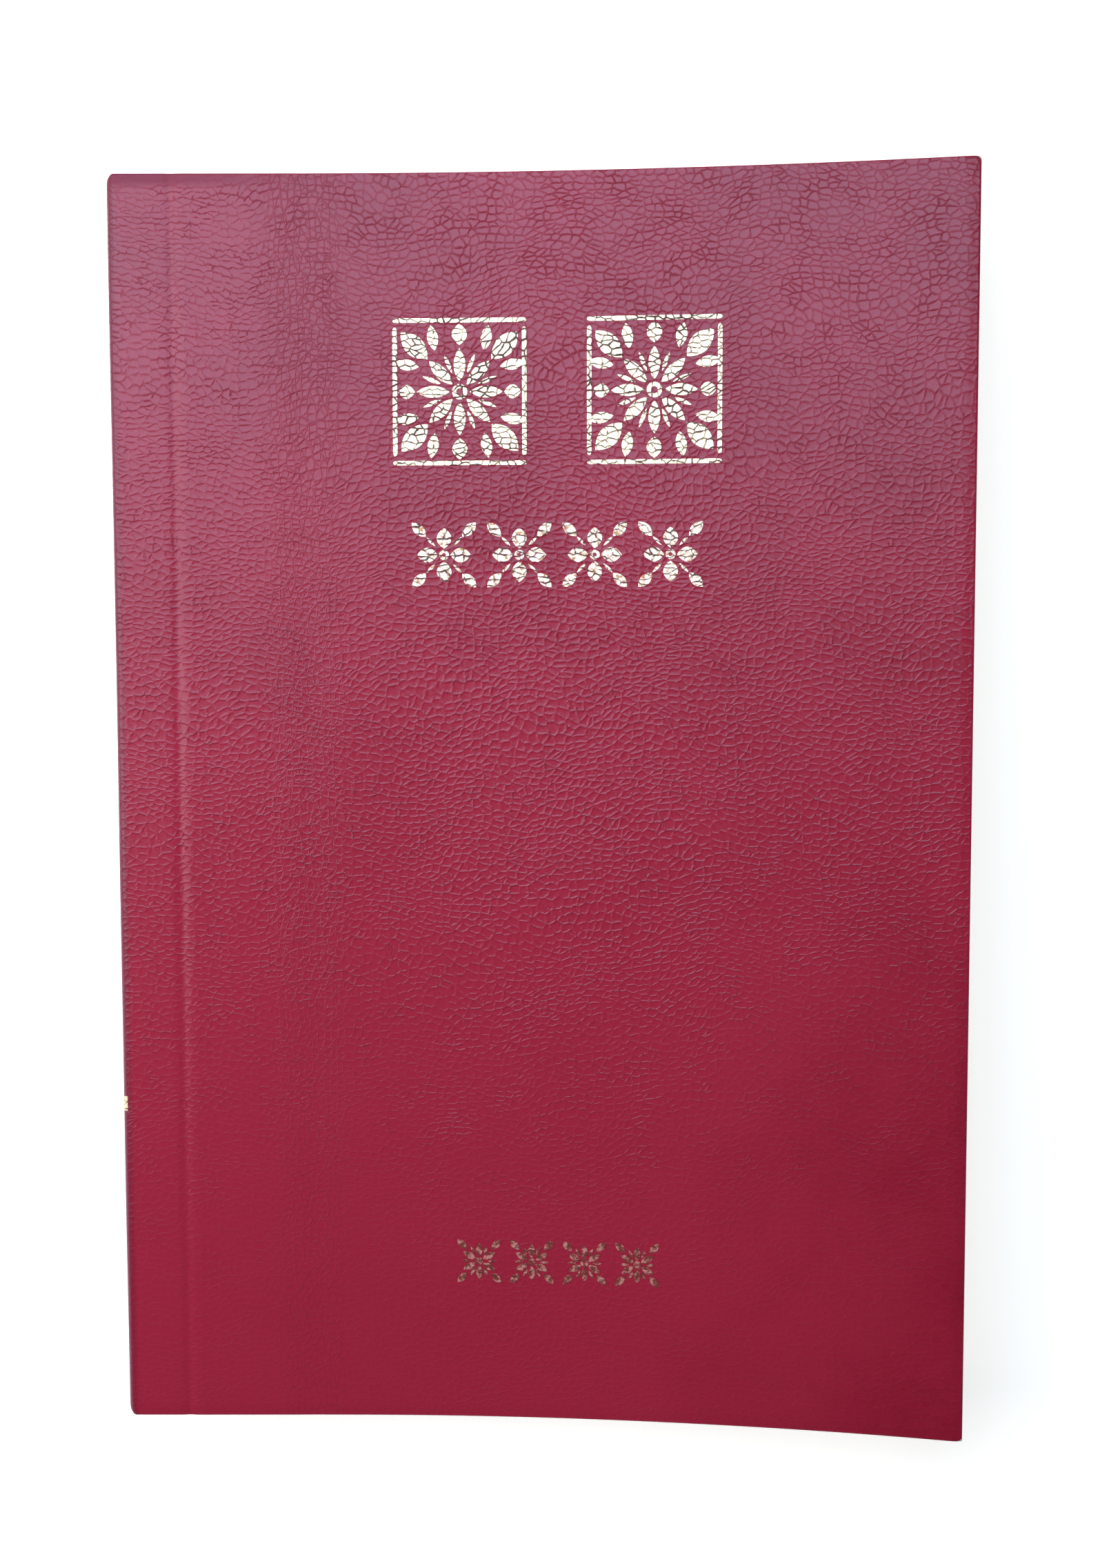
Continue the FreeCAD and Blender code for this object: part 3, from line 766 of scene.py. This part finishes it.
def folded_section(name, low_z, high_z, sheets, body, node, lift=0.0):
    """Folded sheets nested in each other, each a closed strip with a round fold at the spine."""
    pitch = (high_z - low_z) / (2 * sheets)
    corners, faces, uvs = [], [], []
    for k in range(sheets):
        thick = 0.82 * pitch
        radius = (high_z - low_z) / 2 - k * pitch
        centre_z = (low_z + high_z) / 2
        centre_x = FOLD_X + (high_z - low_z) / 2
        low_end = FORE_X - random.uniform(0.0, 0.10) * MM
        high_end = FORE_X - random.uniform(0.0, 0.10) * MM
        trim = random.uniform(0.0, 0.08) * MM
        path = []
        for x in spread(low_end, centre_x, 9 * MM):
            path.append((x, -1, 0.0))
        for i in range(1, 8):
            path.append((None, math.pi * (1 + i / 8) , 0.0))
        for x in spread(centre_x, high_end, 9 * MM):
            path.append((x, 1, 0.0))
        outer, inner = [], []
        for x, side, _ in path:
            pair = []
            for r in (radius, radius - thick):
                if x is None:
                    turn = side
                    pair.append((centre_x + r * math.sin(turn), centre_z - r * math.cos(turn - math.pi)))
                else:
                    raised = 0.0
                    if side > 0:
                        share = max(0.0, (x - centre_x) / (FORE_X - centre_x))
                        raised = lift * math.exp(-k * 0.9) * share ** 2
                    pair.append((x, centre_z + side * r + raised))
            outer.append([(pair[0][0], y, pair[0][1]) for y in (TAIL_Y + trim, HEAD_Y - trim)])
            inner.append([(pair[1][0], y, pair[1][1]) for y in (TAIL_Y + trim, HEAD_Y - trim)])
        found, shell = closed_shell(outer, inner)
        first = len(corners)
        corners += found
        faces += [tuple(first + c for c in face) for face in shell]
        uvs += [((p[0] - FOLD_X) / MM, p[1] / MM) for p in found]
    made = make_mesh(name, corners, faces, uvs, PAGE_PAPER, smooth=False)
    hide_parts(node)
    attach(made, body)
    return made


def flat_leaves(name, low_z, high_z, count, body, node):
    """A stack of single leaves: half of the centre section."""
    pitch = (high_z - low_z) / count
    corners, faces, uvs = [], [], []
    for k in range(count):
        end = FORE_X - random.uniform(0.0, 0.10) * MM
        trim = random.uniform(0.0, 0.08) * MM
        z = low_z + k * pitch
        low, high = [], []
        for x in spread(FOLD_X, end, 9 * MM):
            low.append([(x, y, z) for y in (TAIL_Y + trim, HEAD_Y - trim)])
            high.append([(x, y, z + 0.85 * pitch) for y in (TAIL_Y + trim, HEAD_Y - trim)])
        found, shell = closed_shell(high, low)
        first = len(corners)
        corners += found
        faces += [tuple(first + c for c in face) for face in shell]
        uvs += [((p[0] - FOLD_X) / MM, p[1] / MM) for p in found]
    made = make_mesh(name, corners, faces, uvs, PAGE_PAPER, smooth=False)
    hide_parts(node)
    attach(made, body)
    return made


def show_edges(piece, paper_material):
    """The paper on a piece's pages and the cut-edge material on its sides."""
    piece.data.materials.clear()
    piece.data.materials.append(paper_material)
    piece.data.materials.append(PAGE_EDGES)
    for face in piece.data.polygons:
        face.material_index = 1 if abs(face.normal.z) < 0.7 else 0


def build_block():
    for body, numbers in (("front_block", range(1, 8)), ("rear_block", range(9, 16))):
        for number in numbers:
            node = "section_%02d" % number
            low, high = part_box(node)
            lift = 1.6 * MM if number == 1 else 0.0
            show_edges(folded_section("pages_%02d" % number, low.z, high.z, 8, body, node, lift), PAGE_PAPER)
    for half, body in (("front", "front_block"), ("rear", "rear_block")):
        node = "section_08_" + half
        low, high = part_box(node)
        show_edges(flat_leaves("pages_08_" + half, low.z, high.z, 6, body, node), PRINTED_PAPER)


def turning_leaves():
    for number in range(1, 5):
        node = "section_08_leaf_%d" % number
        low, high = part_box(node)
        top, bottom = [], []
        for x in spread(low.x, high.x, 1.5 * MM):
            top.append([(x, y, high.z) for y in (TAIL_Y, HEAD_Y)])
            bottom.append([(x, y, low.z) for y in (TAIL_Y, HEAD_Y)])
        corners, faces = closed_shell(top, bottom)
        uvs = [((p[0] - FOLD_X) / MM, p[1] / MM) for p in corners]
        leaf = make_mesh("leaf_%d" % number, corners, faces, uvs, PRINTED_PAPER)
        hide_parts(node)
        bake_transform(leaf)


build_block()
turning_leaves()



def finish_node(node, material):
    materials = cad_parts[node].data.materials
    materials.clear()
    materials.append(material)


for node in ("front_pastedown", "back_pastedown", "front_flyleaf", "back_flyleaf",
             "front_endsheet_fold", "back_endsheet_fold"):
    finish_node(node, ENDPAPER)
for half in ("front", "rear"):
    finish_node("sewing_thread_" + half, SEWING_THREAD)
    finish_node("spine_glue_" + half, BINDING_GLUE)

# ---------------------------------------------------------------- stage, light and camera


def build_floor():
    """A plain white sweep, bright enough of itself to stay white where the lights fall off."""
    shader = Shader("floor")
    shader.set(Base_Color=(0.93, 0.93, 0.93, 1), Roughness=0.9, Specular_IOR_Level=0.1)
    shader.set(Emission_Color=(1, 1, 1, 1), Emission_Strength=0.55)
    bpy.ops.mesh.primitive_plane_add(size=6, location=(0, 0, -0.05 * MM))
    floor = bpy.context.object
    floor.name = "floor"
    floor.data.materials.append(shader.material)


def softbox(name, place, target, width, depth, power, colour=(1, 1, 1)):
    light = bpy.data.lights.new(name, "AREA")
    light.shape = "RECTANGLE"
    light.size = width
    light.size_y = depth
    light.energy = power
    light.color = colour
    made = bpy.data.objects.new(name, light)
    made.location = place
    made.rotation_euler = (Vector(target) - Vector(place)).to_track_quat("-Z", "Y").to_euler()
    made.visible_camera = False
    bpy.context.scene.collection.objects.link(made)


def build_surroundings():
    """A room that is pale at the height of the horizon and dark overhead, so that the lights alone show
    in the cover's sheen."""
    world = bpy.data.worlds.new("studio")
    bpy.context.scene.world = world
    world.use_nodes = True
    tree = world.node_tree
    direction = tree.nodes.new("ShaderNodeTexCoord")
    split = tree.nodes.new("ShaderNodeSeparateXYZ")
    tree.links.new(direction.outputs["Generated"], split.inputs[0])
    ramp = tree.nodes.new("ShaderNodeMapRange")
    ramp.interpolation_type = "SMOOTHSTEP"
    for name, setting in (("From Min", 0.25), ("From Max", 0.60), ("To Min", 1.0), ("To Max", 0.04)):
        ramp.inputs[name].default_value = setting
    tree.links.new(split.outputs[2], ramp.inputs["Value"])
    background = tree.nodes["Background"]
    background.inputs["Color"].default_value = (1, 1, 1, 1)
    tree.links.new(ramp.outputs[0], background.inputs["Strength"])


def build_light():
    build_surroundings()
    softbox("window", (-0.09, 0.20, 0.34), (0, 0.02, 0), 0.26, 0.32, 1.20, (0.74, 0.89, 1.0))
    softbox("side", (-0.28, 0.05, 0.27), (0, 0, 0), 0.24, 0.30, 0.90, (1.0, 0.95, 0.92))


def build_camera():
    lens_data = bpy.data.cameras.new("camera")
    lens_data.sensor_width = 36
    lens_data.lens = 45.33
    camera = bpy.data.objects.new("camera", lens_data)
    camera.location = (3.0 * MM, 27.1 * MM, BOOK_TOP + 290 * MM)
    camera.rotation_euler = Euler((math.radians(-4.6), 0, math.radians(-0.08)), "XYZ")
    bpy.context.scene.collection.objects.link(camera)
    bpy.context.scene.camera = camera


build_floor()
build_light()
build_camera()
bpy.context.scene.view_settings.view_transform = "Standard"
